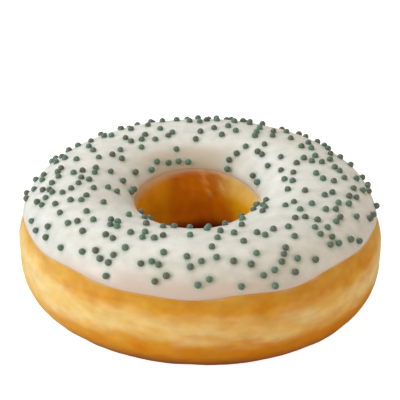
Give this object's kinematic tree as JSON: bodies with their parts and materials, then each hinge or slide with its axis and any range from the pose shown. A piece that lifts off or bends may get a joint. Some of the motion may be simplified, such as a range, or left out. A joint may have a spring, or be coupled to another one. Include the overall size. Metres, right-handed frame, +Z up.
{
  "type": "iced ring doughnut",
  "caption": "Ring doughnut of fried dough with a pale waist, a skin of white icing over its upper half, and small dark green sugar pearls scattered on the icing.",
  "frame": {"origin": "on the upright line through the middle of the ring, at the height of the flat underside that the doughnut rests on", "axes": "+Z up through the hole, iced side up; -Y is the side seen first in the picture and +X its right"},
  "size_m": [0.096, 0.094, 0.0327],
  "materials": {
    "fried_dough": "satin",
    "white_icing": "satin",
    "sugar_pearls": "satin"
  },
  "bodies": {
    "root": {"dough_ring": "fried_dough", "icing": "white_icing"}
  },
  "joints": []
}
